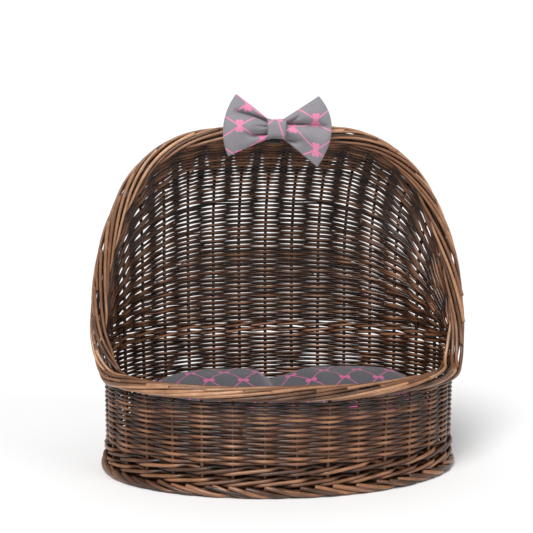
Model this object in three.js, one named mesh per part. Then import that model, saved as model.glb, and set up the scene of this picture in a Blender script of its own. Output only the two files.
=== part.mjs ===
// Hooded wicker pet bed: an oval basket of woven willow with a half-dome hood, a loose
// cushion and a fabric bow tied to the rim. Millimetres, +Z up, the open side faces -Y,
// and the origin is at the middle of the underside.
//
// Willow weaving passes in front of one stake and behind the next, so each woven wall is
// built as an outer and an inner skin with the upright stakes standing between them.

import * as THREE from "three";

// Spacing between pieces that touch.
const GAP = 0.3;

// Oval plan of the wall's middle surface: half width and half depth, flaring upwards.
const WALL_HALF_WIDTH = 254;
const WALL_HALF_DEPTH = 176;
const FLARE_WIDTH = 2;
const FLARE_DEPTH = 9;
const FLARE_HEIGHT = 150;

// Rods.
const STAKE_COUNT = 32;
const STAKE_RADIUS = 3;
const STAKE_SIDES = 6;
const WEAVER_DIAMETER = 3.4;
const WALE_DIAMETER = 5.2;

// Heights of the rings that the wall is built up from.
const FOOT_HEIGHT = 13;
const LOWER_WALE_TOP = 44;
const FRONT_WEAVE_TOP = 132;
const BACK_WEAVE_TOP = 168;
const MID_WALE_TOP = 186;

// Foot border: the rolled edge of the base, which the basket stands on.
const FOOT_OUTWARD = 11;
const FOOT_INWARD = 8.5;
const FOOT_CHAMFER = 3;

// Woven base: two layers with the base sticks between them.
const BASE_INSET = FOOT_INWARD + GAP;
const BASE_LAYER = 3.3;
const BASE_STICK_COUNT = 6;
const BASE_STICK_SPACING = 72;
const BASE_STICK_SIDES = 8;

// Rim border: level round the front, then up and over the opening as an arch.
const RIM_HEIGHT = 145;
const RIM_OUTSET = 2;
const RIM_HALF_WIDTH = 17;
const RIM_HALF_WIDTH_TOP = 13;
const RIM_HALF_THICKNESS = 10.5;
const RIM_STEPS = 84;
const RIM_SIDES = 10;
const ARCH_HALF_WIDTH = 264;
const ARCH_FOOT_HEIGHT = 210;
const ARCH_RISE = 284;
const ARCH_FOOT_Y = -28;
const ARCH_TOP_Y = 40;
const ARCH_POWER = 3.84;
const ARCH_ROUNDNESS = 1.97;
const FRONT_RIM_END = THREE.MathUtils.degToRad(-15);
const FRONT_RIM_POINTS = 11;
const ARCH_POINTS = 17;
const TURN_UP = { x: 257, y: -34, z: 162 };

// Hood: rises from the middle wale and leans forward to the back of the arch.
const HOOD_LEVELS = [0, 0.2, 0.4, 0.5, 0.6, 0.7, 0.8, 0.9, 1];
const HOOD_STRAIGHT_PART = 0.4;
const HOOD_SHOULDER_HEIGHT = 0.84;
const HOOD_SHOULDER_REACH = 0.13;
const HOOD_END_BACK = 19;
const HOOD_END_DROP = 8;

// Cushion: plump oval pad, as fractions of its half size at each height.
const CUSHION_HALF_WIDTH = 233;
const CUSHION_HALF_DEPTH = 159;
const CUSHION_HEIGHT = 116;
const CUSHION_SQUARENESS = 2.1;
const CUSHION_SIDES = 40;
const CUSHION_PROFILE = [
  [0, 0.9],
  [0.08, 0.96],
  [0.3, 1],
  [0.62, 1],
  [0.82, 0.94],
  [0.93, 0.8],
  [0.98, 0.55],
  [1, 0.2],
];

// Bow: two puffed loops, a knot between them and a strap round the rim behind the knot.
const BOW_X = -5;
const BOW_Y = 9;
const BOW_HEIGHT = 500;
const BOW_LOOP_SIDES = 14;
const BOW_LOOP_SQUARENESS = 2.6;
const BOW_LOOP_SECTIONS = [
  { reach: 14.3, halfHeight: 13, halfDepth: 9 },
  { reach: 26, halfHeight: 19, halfDepth: 14 },
  { reach: 42, halfHeight: 34, halfDepth: 17 },
  { reach: 58, halfHeight: 47, halfDepth: 14 },
  { reach: 70, halfHeight: 38, halfDepth: 9 },
  { reach: 78, halfHeight: 22, halfDepth: 4 },
];
const KNOT_HALF_WIDTH = 14;
const KNOT_HALF_HEIGHT = 16;
const KNOT_HALF_DEPTH = 16.5;
const KNOT_ROUNDING = 5;
const STRAP_WIDTH = 20;
const STRAP_THICKNESS = 1.5;
const STRAP_CLEARANCE = 0.8;
const STRAP_CURVE_SEGMENTS = 12;

const WILLOW = { color: 0x6b4730, roughness: 0.55, metalness: 0 };
const WILLOW_RIM = { color: 0x9a6b4b, roughness: 0.5, metalness: 0 };
const FABRIC = { color: 0x57555b, roughness: 0.9, metalness: 0 };

const BACK_STAKES = STAKE_COUNT / 2 + 1;
const MIDDLE_SURFACE = STAKE_RADIUS + GAP;

// ---------------------------------------------------------------- surfaces

function wallPoint(angle, height) {
  const flare = height / FLARE_HEIGHT;
  const x = (WALL_HALF_WIDTH + FLARE_WIDTH * flare) * Math.cos(angle);
  const y = (WALL_HALF_DEPTH + FLARE_DEPTH * flare) * Math.sin(angle);
  return new THREE.Vector3(x, y, height);
}

// Middle line of the arch, from the right foot at angle 0 to the left foot at angle PI.
function archPoint(angle) {
  const bulge = 1 - Math.abs(Math.cos(angle)) ** ARCH_POWER;
  const height = ARCH_FOOT_HEIGHT + ARCH_RISE * bulge ** (1 / ARCH_ROUNDNESS);
  const lean = (height - RIM_HEIGHT) / (ARCH_FOOT_HEIGHT + ARCH_RISE - RIM_HEIGHT);
  const y = THREE.MathUtils.lerp(ARCH_FOOT_Y, ARCH_TOP_Y, lean);
  return new THREE.Vector3(ARCH_HALF_WIDTH * Math.cos(angle), y, height);
}

// Middle surface of the hood: level 0 is the middle wale and level 1 the arch. It stops
// at the sides of the basket, angles 0 and PI.
function hoodPoint(anyAngle, level) {
  const angle = THREE.MathUtils.clamp(anyAngle, 0, Math.PI);
  const start = wallPoint(angle, MID_WALE_TOP + GAP);
  const end = archPoint(angle);
  end.y += HOOD_END_BACK;
  end.z -= HOOD_END_DROP * Math.sin(angle);
  const rise = end.z - start.z;
  const bend = start.clone();
  bend.z += rise * HOOD_STRAIGHT_PART;
  if (level <= HOOD_STRAIGHT_PART) {
    return start.lerp(bend, level / HOOD_STRAIGHT_PART);
  }
  const shoulder = start.clone().lerp(end, HOOD_SHOULDER_REACH);
  shoulder.z = start.z + rise * HOOD_SHOULDER_HEIGHT;
  const curve = new THREE.QuadraticBezierCurve3(bend, shoulder, end);
  return curve.getPoint((level - HOOD_STRAIGHT_PART) / (1 - HOOD_STRAIGHT_PART));
}

// Unit vectors along the rows and straight out of a surface of (angle, height or level).
function surfaceFrame(surface, angle, v, step) {
  const nudge = 0.002;
  const along = surface(angle + nudge, v).sub(surface(angle - nudge, v)).normalize();
  const up = surface(angle, v + step).sub(surface(angle, v)).multiplyScalar(Math.sign(step));
  const out = along.clone().cross(up).normalize();
  return { along, out };
}

function wallOffset(angle, height, offset) {
  const { out } = surfaceFrame(wallPoint, angle, height, 1);
  return wallPoint(angle, height).addScaledVector(out.setZ(0).normalize(), offset);
}

function hoodOffset(angle, level, offset) {
  const step = level < 1 ? 0.01 : -0.01;
  const { out } = surfaceFrame(hoodPoint, angle, level, step);
  return hoodPoint(angle, level).addScaledVector(out, offset);
}

// Angles that divide the oval at the rim into equal lengths, starting on the right.
function evenAngles(count) {
  const fine = 4096;
  const lengths = [0];
  for (let i = 1; i <= fine; i += 1) {
    const before = wallPoint((2 * Math.PI * (i - 1)) / fine, FLARE_HEIGHT);
    const here = wallPoint((2 * Math.PI * i) / fine, FLARE_HEIGHT);
    lengths.push(lengths[i - 1] + here.distanceTo(before));
  }
  const angles = [];
  for (let k = 0; k < count; k += 1) {
    const target = (lengths[fine] * k) / count;
    const i = lengths.findIndex((length) => length >= target);
    angles.push((2 * Math.PI * i) / fine);
  }
  return angles;
}

// ---------------------------------------------------------------- solids

// Closed solid through loops of points. An open run of loops is capped across each end
// loop by joining its first half to its second half, which runs back the other way.
function loft(loops, joinsUp) {
  const size = loops[0].length;
  const index = [];
  const quad = (a, b, c, d) => index.push(a, b, c, a, c, d);
  const spans = joinsUp ? loops.length : loops.length - 1;
  for (let i = 0; i < spans; i += 1) {
    const near = i * size;
    const far = ((i + 1) % loops.length) * size;
    for (let j = 0; j < size; j += 1) {
      const next = (j + 1) % size;
      quad(near + j, near + next, far + next, far + j);
    }
  }
  if (!joinsUp) {
    const last = (loops.length - 1) * size;
    for (let j = 0; j < size / 2 - 1; j += 1) {
      const back = size - 1 - j;
      quad(j, back, back - 1, j + 1);
      quad(last + j, last + j + 1, last + back - 1, last + back);
    }
  }
  const geometry = new THREE.BufferGeometry().setFromPoints(loops.flat());
  geometry.setIndex(signedVolume(loops.flat(), index) < 0 ? index.reverse() : index);
  geometry.computeVertexNormals();
  return geometry;
}

function signedVolume(points, index) {
  let total = 0;
  for (let i = 0; i < index.length; i += 3) {
    const [a, b, c] = [points[index[i]], points[index[i + 1]], points[index[i + 2]]];
    total += a.dot(b.clone().cross(c));
  }
  return total / 6;
}

// One layer of weaving: the surface between two offsets, over a run of angles. levelsAt
// gives the heights or levels that it is divided at.
function skin(offsetPoint, angles, levelsAt, inner, outer, joinsUp) {
  const loops = angles.map((angle) => [
    ...levelsAt(angle).map((level) => offsetPoint(angle, level, outer)),
    ...levelsAt(angle).toReversed().map((level) => offsetPoint(angle, level, inner)),
  ]);
  return loft(loops, joinsUp);
}

// Superellipse loop: squareness 2 is an ellipse, and more is nearer a rectangle.
function superellipse(sides, squareness, halfA, halfB, place) {
  const loop = [];
  for (let i = 0; i < sides; i += 1) {
    const turn = (2 * Math.PI * (i + 0.5)) / sides;
    const [c, s] = [Math.cos(turn), Math.sin(turn)];
    const a = halfA * Math.sign(c) * Math.abs(c) ** (2 / squareness);
    const b = halfB * Math.sign(s) * Math.abs(s) ** (2 / squareness);
    loop.push(place(a, b));
  }
  return loop;
}

// ---------------------------------------------------------------- willow work

function stakeRing(point, along, out) {
  return superellipse(STAKE_SIDES, 2, STAKE_RADIUS, STAKE_RADIUS, (a, b) =>
    point.clone().addScaledVector(along, a).addScaledVector(out, b),
  );
}

function wallStakeRing(angle, height) {
  const { along, out } = surfaceFrame(wallPoint, angle, height, 1);
  return stakeRing(wallPoint(angle, height), along, out.setZ(0).normalize());
}

function hoodStakeRing(angle, level) {
  const step = level < 1 ? 0.01 : -0.01;
  const { along, out } = surfaceFrame(hoodPoint, angle, level, step);
  return stakeRing(hoodPoint(angle, level), along, out);
}

// A front stake ends under the level rim; a back one goes on up the hood to the arch.
function stake(angle, isBack) {
  const rings = [wallStakeRing(angle, FOOT_HEIGHT + GAP)];
  if (isBack) {
    rings.push(...HOOD_LEVELS.map((level) => hoodStakeRing(angle, level)));
  } else {
    rings.push(wallStakeRing(angle, FRONT_WEAVE_TOP));
  }
  return loft(rings, false);
}

function footBorder(angles) {
  const corners = [
    [FOOT_OUTWARD - FOOT_CHAMFER, 0],
    [FOOT_OUTWARD, FOOT_CHAMFER],
    [FOOT_OUTWARD, FOOT_HEIGHT - FOOT_CHAMFER],
    [FOOT_OUTWARD - FOOT_CHAMFER, FOOT_HEIGHT],
    [-FOOT_INWARD, FOOT_HEIGHT],
    [-FOOT_INWARD, 0],
  ];
  return loft(
    angles.map((angle) => corners.map(([offset, height]) => wallOffset(angle, height, offset))),
    true,
  );
}

function baseLayer(angles, bottom) {
  const loop = (height) => angles.map((angle) => wallOffset(angle, 0, -BASE_INSET).setZ(height));
  return loft([loop(bottom), loop(bottom + BASE_LAYER)], false);
}

function baseStick(x) {
  const halfWidth = WALL_HALF_WIDTH - BASE_INSET;
  const halfDepth = WALL_HALF_DEPTH - BASE_INSET;
  const length = 2 * halfDepth * Math.sqrt(1 - (x / halfWidth) ** 2) - 2 * STAKE_RADIUS;
  const geometry = new THREE.CylinderGeometry(STAKE_RADIUS, STAKE_RADIUS, length, BASE_STICK_SIDES);
  return geometry.translate(x, 0, BASE_LAYER + GAP + STAKE_RADIUS);
}

// Middle line of the rim border, once round: level along the front and over the arch.
function rimCurve() {
  const points = [];
  for (let i = 0; i < FRONT_RIM_POINTS; i += 1) {
    const along = i / (FRONT_RIM_POINTS - 1);
    const angle = THREE.MathUtils.lerp(-Math.PI - FRONT_RIM_END, FRONT_RIM_END, along);
    points.push(wallOffset(angle, RIM_HEIGHT, RIM_OUTSET));
  }
  points.push(new THREE.Vector3(TURN_UP.x, TURN_UP.y, TURN_UP.z));
  for (let i = 0; i < ARCH_POINTS; i += 1) {
    points.push(archPoint((Math.PI * i) / (ARCH_POINTS - 1)));
  }
  points.push(new THREE.Vector3(-TURN_UP.x, TURN_UP.y, TURN_UP.z));
  return new THREE.CatmullRomCurve3(points, true, "centripetal");
}

function rimBorder() {
  const curve = rimCurve();
  const loops = [];
  for (let i = 0; i < RIM_STEPS; i += 1) {
    const point = curve.getPointAt(i / RIM_STEPS);
    const tangent = curve.getTangentAt(i / RIM_STEPS);
    // The border faces up along the front and forward over the arch.
    const turned = THREE.MathUtils.smoothstep(point.z, RIM_HEIGHT, ARCH_FOOT_HEIGHT);
    const facing = new THREE.Vector3(0, -turned, 1 - turned);
    const out = tangent.clone().cross(facing).normalize();
    const thick = out.clone().cross(tangent).normalize();
    const climb = THREE.MathUtils.smoothstep(point.z, ARCH_FOOT_HEIGHT, ARCH_FOOT_HEIGHT + ARCH_RISE);
    const halfWidth = THREE.MathUtils.lerp(RIM_HALF_WIDTH, RIM_HALF_WIDTH_TOP, climb);
    loops.push(
      superellipse(RIM_SIDES, 2, halfWidth, RIM_HALF_THICKNESS, (a, b) =>
        point.clone().addScaledVector(out, a).addScaledVector(thick, b),
      ),
    );
  }
  return loft(loops, true);
}

// ---------------------------------------------------------------- soft goods

function cushion() {
  const bottom = 2 * (BASE_LAYER + GAP) + 2 * STAKE_RADIUS + GAP;
  const loops = CUSHION_PROFILE.map(([rise, spread]) =>
    superellipse(
      CUSHION_SIDES,
      CUSHION_SQUARENESS,
      CUSHION_HALF_WIDTH * spread,
      CUSHION_HALF_DEPTH * spread,
      (x, y) => new THREE.Vector3(x, y, bottom + CUSHION_HEIGHT * rise),
    ),
  );
  return loft(loops, false);
}

function bowLoop(side) {
  const loops = BOW_LOOP_SECTIONS.map(({ reach, halfHeight, halfDepth }) =>
    superellipse(
      BOW_LOOP_SIDES,
      BOW_LOOP_SQUARENESS,
      halfHeight,
      halfDepth,
      (z, y) => new THREE.Vector3(BOW_X + side * reach, BOW_Y + y, BOW_HEIGHT + z),
    ),
  );
  return loft(loops, false);
}

function bowKnot() {
  const straight = KNOT_HALF_WIDTH - KNOT_ROUNDING;
  const stations = [
    { x: -KNOT_HALF_WIDTH, inset: KNOT_ROUNDING },
    { x: -straight, inset: 0 },
    { x: straight, inset: 0 },
    { x: KNOT_HALF_WIDTH, inset: KNOT_ROUNDING },
  ];
  const loops = stations.map(({ x, inset }) =>
    superellipse(
      BOW_LOOP_SIDES,
      BOW_LOOP_SQUARENESS,
      KNOT_HALF_HEIGHT - inset,
      KNOT_HALF_DEPTH - inset,
      (z, y) => new THREE.Vector3(BOW_X + x, BOW_Y + y, BOW_HEIGHT + z),
    ),
  );
  return loft(loops, false);
}

// Flat band right round the rim border at the top of the arch.
function bowStrap() {
  const top = archPoint(Math.PI / 2);
  const outline = (grow) => [RIM_HALF_THICKNESS + grow, RIM_HALF_WIDTH_TOP + grow];
  const outside = outline(STRAP_CLEARANCE + STRAP_THICKNESS);
  const inside = outline(STRAP_CLEARANCE);
  const band = new THREE.Shape().absellipse(0, 0, ...outside, 0, 2 * Math.PI);
  band.holes.push(new THREE.Path().absellipse(0, 0, ...inside, 0, 2 * Math.PI));
  const geometry = new THREE.ExtrudeGeometry(band, {
    depth: STRAP_WIDTH,
    bevelEnabled: false,
    curveSegments: STRAP_CURVE_SEGMENTS,
  });
  // Stand the ring's axis along X: its own X becomes -Y and its own Y stays upright.
  geometry.translate(0, 0, -STRAP_WIDTH / 2);
  geometry.rotateX(Math.PI / 2);
  geometry.rotateZ(Math.PI / 2);
  return geometry.translate(BOW_X, top.y, top.z);
}

// ---------------------------------------------------------------- assembly

const pieces = new THREE.Group();

function add(name, geometry, finish) {
  const mesh = new THREE.Mesh(geometry, new THREE.MeshStandardMaterial(finish));
  mesh.name = name;
  pieces.add(mesh);
}

// Rows are divided twice as finely as the stakes, so every stake has a facet edge behind it.
const angles = evenAngles(2 * STAKE_COUNT);
const backAngles = angles.slice(0, STAKE_COUNT + 1);
const outerWeave = [MIDDLE_SURFACE, MIDDLE_SURFACE + WEAVER_DIAMETER];
const innerWeave = outerWeave.map((offset) => -offset).toReversed();
const outerWale = [MIDDLE_SURFACE, MIDDLE_SURFACE + WALE_DIAMETER];
const innerWale = outerWale.map((offset) => -offset).toReversed();
const lowerWaleLevels = () => [FOOT_HEIGHT + GAP, LOWER_WALE_TOP];
const midWaleLevels = () => [BACK_WEAVE_TOP + GAP, MID_WALE_TOP];
const hoodLevels = () => HOOD_LEVELS;

// The wall is woven higher round the back, where it carries the hood.
function wallLevels(angle) {
  return [LOWER_WALE_TOP + GAP, angle <= Math.PI ? BACK_WEAVE_TOP : FRONT_WEAVE_TOP];
}

add("foot_border", footBorder(angles), WILLOW);
add("base_weave_bottom", baseLayer(angles, 0), WILLOW);
add("base_weave_top", baseLayer(angles, BASE_LAYER + 2 * (GAP + STAKE_RADIUS)), WILLOW);
for (let i = 0; i < BASE_STICK_COUNT; i += 1) {
  const x = (i - (BASE_STICK_COUNT - 1) / 2) * BASE_STICK_SPACING;
  add(`base_stick_${i + 1}`, baseStick(x), WILLOW);
}

add("lower_wale_outer", skin(wallOffset, angles, lowerWaleLevels, ...outerWale, true), WILLOW);
add("lower_wale_inner", skin(wallOffset, angles, lowerWaleLevels, ...innerWale, true), WILLOW);
add("wall_weave_outer", skin(wallOffset, angles, wallLevels, ...outerWeave, true), WILLOW);
add("wall_weave_inner", skin(wallOffset, angles, wallLevels, ...innerWeave, true), WILLOW);
add("mid_wale_outer", skin(wallOffset, backAngles, midWaleLevels, ...outerWale, false), WILLOW);
add("mid_wale_inner", skin(wallOffset, backAngles, midWaleLevels, ...innerWale, false), WILLOW);
add("hood_weave_outer", skin(hoodOffset, backAngles, hoodLevels, ...outerWeave, false), WILLOW);
add("hood_weave_inner", skin(hoodOffset, backAngles, hoodLevels, ...innerWeave, false), WILLOW);

for (let i = 0; i < STAKE_COUNT; i += 1) {
  add(`stake_${String(i + 1).padStart(2, "0")}`, stake(angles[2 * i], i < BACK_STAKES), WILLOW);
}
add("rim_border", rimBorder(), WILLOW_RIM);

add("cushion", cushion(), FABRIC);
add("bow_loop_left", bowLoop(-1), FABRIC);
add("bow_loop_right", bowLoop(1), FABRIC);
add("bow_knot", bowKnot(), FABRIC);
add("bow_strap", bowStrap(), FABRIC);

// The rim stands further out at the front than the hood does at the back, so the pieces
// move back until the whole outline is centred over the origin.
pieces.position.y = -new THREE.Box3().setFromObject(pieces).getCenter(new THREE.Vector3()).y;

const part = new THREE.Group();
part.add(pieces);

export default part;
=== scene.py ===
"""Looks for the hooded wicker pet bed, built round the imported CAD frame.

Every rod of the basket is a swept round rod: the uprights, the single weavers that pass
in front of one upright and behind the next, the twisted wales, and the rods of the rim
and foot borders. The cushion is swollen by a short cloth simulation, and the bow is two
pressed strips of cloth gathered at a knot. Lengths are in millimetres here and are turned
into metres where a mesh is made.
"""

import math

import bpy
import numpy as np
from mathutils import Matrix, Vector


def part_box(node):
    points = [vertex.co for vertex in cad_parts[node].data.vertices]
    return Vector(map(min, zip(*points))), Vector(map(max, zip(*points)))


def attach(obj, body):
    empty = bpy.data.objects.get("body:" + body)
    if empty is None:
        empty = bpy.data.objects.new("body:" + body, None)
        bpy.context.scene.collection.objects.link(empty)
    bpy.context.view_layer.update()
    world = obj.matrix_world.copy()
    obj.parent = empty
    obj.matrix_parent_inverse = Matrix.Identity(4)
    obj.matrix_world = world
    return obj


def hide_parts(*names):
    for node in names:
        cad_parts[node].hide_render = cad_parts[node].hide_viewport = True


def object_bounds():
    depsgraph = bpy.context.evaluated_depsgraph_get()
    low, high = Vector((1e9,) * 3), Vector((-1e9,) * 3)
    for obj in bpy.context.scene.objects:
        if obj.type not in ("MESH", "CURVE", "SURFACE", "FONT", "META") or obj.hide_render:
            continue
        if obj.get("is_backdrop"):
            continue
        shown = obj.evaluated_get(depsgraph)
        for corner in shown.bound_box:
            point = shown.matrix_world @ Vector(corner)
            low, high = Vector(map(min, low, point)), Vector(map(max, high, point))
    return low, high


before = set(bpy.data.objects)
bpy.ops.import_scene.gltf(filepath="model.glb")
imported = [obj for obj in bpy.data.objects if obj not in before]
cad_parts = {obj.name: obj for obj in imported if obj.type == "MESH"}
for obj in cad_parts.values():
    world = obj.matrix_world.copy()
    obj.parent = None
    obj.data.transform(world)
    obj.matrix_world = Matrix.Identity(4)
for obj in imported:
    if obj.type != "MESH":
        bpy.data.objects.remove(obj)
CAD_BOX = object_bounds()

MM = 0.001
BASKET = "basket"
rng = np.random.default_rng(11)


def cad_box(node):
    """Lowest and highest corner of a CAD node, in millimetres."""
    low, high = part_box(node)
    return np.array(low) / MM, np.array(high) / MM


# ---------------- dimensions

FOOT_LOW, FOOT_HIGH = cad_box("foot_border")
WALE_LOW, WALE_HIGH = cad_box("lower_wale_outer")
WALL_LOW, WALL_HIGH = cad_box("wall_weave_outer")
MID_LOW, MID_HIGH = cad_box("mid_wale_outer")

CUSHION_LOW, CUSHION_HIGH = cad_box("cushion")
KNOT_LOW, KNOT_HIGH = cad_box("bow_knot")

# The oval plan is centred on the foot, which is a little behind the frame's origin.
CENTRE_Y = (FOOT_LOW[1] + FOOT_HIGH[1]) / 2
FOOT_OUTWARD = 11
OVAL_WIDTH = FOOT_HIGH[0] - FOOT_OUTWARD
OVAL_DEPTH = (FOOT_HIGH[1] - FOOT_LOW[1]) / 2 - FOOT_OUTWARD
FLARE_WIDTH = 2
FLARE_DEPTH = 9
FLARE_HEIGHT = 150

STAKES = 32
HALF_WAY = STAKES // 2
STAKE_RADIUS = 2.7
WEAVE_SWING = 3.25
RIM_HEIGHT = 145
RIM_OUTSET = 2
RIM_HALF_WIDTH = 17
RIM_HALF_WIDTH_TOP = 13
RIM_SIDE_NARROWING = 3
RIM_HALF_THICKNESS = 10.5
ARCH_HALF_WIDTH = 264
ARCH_FOOT_HEIGHT = 210
ARCH_RISE = 284
ARCH_FOOT_Y = -28
ARCH_TOP_Y = 40
ARCH_POWER = 3.84
ARCH_ROUNDNESS = 1.97
FRONT_RIM_ENDS = np.radians([-165, -15])
TURN_UP = (257, -34, 162)
FRONT_WEAVE_TOP = 133

HOOD_START = MID_HIGH[2]
HOOD_STRAIGHT_PART = 0.4
HOOD_SHOULDER_HEIGHT = 0.84
HOOD_SHOULDER_REACH = 0.13
HOOD_END_BACK = 11
HOOD_END_DROP = 5


# ---------------- surfaces

def unit(vectors):
    return vectors / np.linalg.norm(vectors, axis=-1, keepdims=True)


def stack(x, y, z):
    return np.stack(np.broadcast_arrays(x, y, z), axis=-1).astype(float)


def smoothstep(value, low, high):
    t = np.clip((value - low) / (high - low), 0, 1)
    return t * t * (3 - 2 * t)


def oval(angle, height):
    """Middle surface of the wall. Angle 0 is the right side and a quarter turn the back."""
    flare = height / FLARE_HEIGHT
    x = (OVAL_WIDTH + FLARE_WIDTH * flare) * np.cos(angle)
    y = (OVAL_DEPTH + FLARE_DEPTH * flare) * np.sin(angle)
    return stack(x, y + CENTRE_Y, height)


def oval_out(angle):
    return unit(stack(OVAL_DEPTH * np.cos(angle), OVAL_WIDTH * np.sin(angle), 0))


def arch(angle):
    """Middle line of the rim over the opening, from the right foot to the left."""
    bulge = 1 - np.abs(np.cos(angle)) ** ARCH_POWER
    height = ARCH_FOOT_HEIGHT + ARCH_RISE * bulge ** (1 / ARCH_ROUNDNESS)
    lean = (height - RIM_HEIGHT) / (ARCH_FOOT_HEIGHT + ARCH_RISE - RIM_HEIGHT)
    y = ARCH_FOOT_Y + (ARCH_TOP_Y - ARCH_FOOT_Y) * lean
    return stack(ARCH_HALF_WIDTH * np.cos(angle), y + CENTRE_Y, height)


def hood(angle, level):
    """Middle surface of the hood, from the middle wale, level 0, to the arch, level 1."""
    inner = np.clip(angle, 0, np.pi)
    start = oval(inner, HOOD_START)
    end = arch(inner) + stack(0, HOOD_END_BACK, -HOOD_END_DROP * np.sin(inner))
    rise = (end - start)[..., 2:]
    up = np.array([0, 0, 1.0])
    bend = start + rise * HOOD_STRAIGHT_PART * up
    shoulder = start + (end - start) * HOOD_SHOULDER_REACH * (1 - up)
    shoulder = shoulder + rise * HOOD_SHOULDER_HEIGHT * up
    level = np.asarray(level, float)[..., None]
    t = np.clip((level - HOOD_STRAIGHT_PART) / (1 - HOOD_STRAIGHT_PART), 0, 1)
    curved = (1 - t) ** 2 * bend + 2 * t * (1 - t) * shoulder + t * t * end
    straight = start + (bend - start) * np.minimum(level / HOOD_STRAIGHT_PART, 1)
    past_side = oval(angle, HOOD_START) - start
    return np.where(level < HOOD_STRAIGHT_PART, straight, curved) + past_side


def hood_out(angle, level):
    step = 0.004
    inner = np.clip(angle, step, np.pi - step)
    low = np.clip(level, step, 1 - step)
    along = hood(inner + step, low) - hood(inner - step, low)
    up = hood(inner, low + step) - hood(inner, low - step)
    return unit(np.cross(along, up))


EVEN_STEPS = 4096


def even_spacing():
    """Table from distance round the oval, counted in stakes, to angle."""
    fine = np.linspace(0, 2 * np.pi, EVEN_STEPS + 1)
    steps = np.linalg.norm(np.diff(oval(fine, FLARE_HEIGHT), axis=0), axis=1)
    lengths = np.concatenate([[0], np.cumsum(steps)])
    return lengths / lengths[-1] * STAKES, fine


STAKE_TABLE = even_spacing()


def angle_at(stake):
    """Angle of a place counted in stakes from the right side, fractions included."""
    turns = np.floor(np.asarray(stake, float) / STAKES)
    inside = stake - turns * STAKES
    return np.interp(inside, *STAKE_TABLE) + turns * 2 * np.pi


# ---------------- swept rods

GRAIN_SPREAD = 1000
GRAIN_RADIUS = 3


class Rods:
    """Collects round rods and makes one piece of them."""

    def __init__(self, sides=8):
        self.sides = sides
        self.points = []
        self.quads = []
        self.caps = []
        self.grain = []
        self.tint = []
        self.count = 0

    def add(self, path, radius, facing, tint=None):
        """Sweeps a rod along a path. facing is any direction across it at each point."""
        steps = len(path)
        radius = np.broadcast_to(radius, (steps,))
        tangent = unit(np.gradient(path, axis=0))
        side = unit(np.cross(tangent, facing))
        up = np.cross(side, tangent)
        turn = np.arange(self.sides) * 2 * np.pi / self.sides
        ring = np.cos(turn)[None, :, None] * side[:, None] + np.sin(turn)[None, :, None] * up[:, None]
        self.points.append((path[:, None] + radius[:, None, None] * ring).reshape(-1, 3))

        near = self.count + np.arange(steps - 1)[:, None] * self.sides
        far = near + self.sides
        this, after = np.arange(self.sides), (np.arange(self.sides) + 1) % self.sides
        quads = np.stack([near + this, near + after, far + after, far + this], -1)
        self.quads.append(quads.reshape(-1, 4))
        last = self.count + (steps - 1) * self.sides
        self.caps.append(self.count + this[::-1])
        self.caps.append(last + this)

        lengths = np.concatenate([[0], np.cumsum(np.linalg.norm(np.diff(path, axis=0), axis=1))])
        # Each rod has its own stretch of grain.
        shift = rng.uniform(0, GRAIN_SPREAD)
        along = np.repeat(lengths + shift, self.sides)
        round_one = np.tile(np.cos(turn), steps) * GRAIN_RADIUS
        round_two = np.tile(np.sin(turn), steps) * GRAIN_RADIUS + shift
        self.grain.append(stack(along, round_one, round_two))
        tint = rng.uniform(0, 1) if tint is None else tint
        self.tint.append(np.repeat(np.broadcast_to(tint, (steps,)), self.sides))
        self.count += steps * self.sides

    def build(self, name, material):
        """Makes the mesh straight from arrays, since there are thousands of faces."""
        points = np.concatenate(self.points) * MM
        quads = np.concatenate(self.quads)
        caps = np.array(self.caps)
        mesh = bpy.data.meshes.new(name)
        mesh.vertices.add(len(points))
        mesh.vertices.foreach_set("co", points.ravel())
        loops = np.concatenate([quads.ravel(), caps.ravel()])
        mesh.loops.add(len(loops))
        mesh.loops.foreach_set("vertex_index", loops)
        quad_starts = np.arange(len(quads)) * 4
        cap_starts = len(quads) * 4 + np.arange(len(caps)) * self.sides
        mesh.polygons.add(len(quads) + len(caps))
        mesh.polygons.foreach_set("loop_start", np.concatenate([quad_starts, cap_starts]))
        mesh.update(calc_edges=True)
        smooth = np.concatenate([np.ones(len(quads), bool), np.zeros(len(caps), bool)])
        mesh.polygons.foreach_set("use_smooth", smooth)
        grain = mesh.attributes.new("grain", "FLOAT_VECTOR", "POINT")
        grain.data.foreach_set("vector", np.concatenate(self.grain).ravel())
        tint = mesh.attributes.new("tint", "FLOAT", "POINT")
        tint.data.foreach_set("value", np.concatenate(self.tint))
        return place(name, mesh, material)


def place(name, mesh, material):
    piece = bpy.data.objects.new(name, mesh)
    bpy.context.scene.collection.objects.link(piece)
    mesh.materials.append(material)
    return piece


def drift(steps, size, reach):
    """Random unevenness along a rod, smoothed over a few steps."""
    raw = rng.normal(0, size, steps + reach - 1)
    return np.convolve(raw, np.ones(reach) / reach, mode="valid")


WOBBLE = 0.05
WOBBLE_REACH = 9


def taper(steps, butt, tip):
    """Radius along a willow rod, thick at the butt and thin at the tip, not quite even."""
    t = np.linspace(0, 1, steps)
    return (butt + (tip - butt) * t) * (1 + drift(steps, WOBBLE, WOBBLE_REACH))


# ---------------- materials

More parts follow.
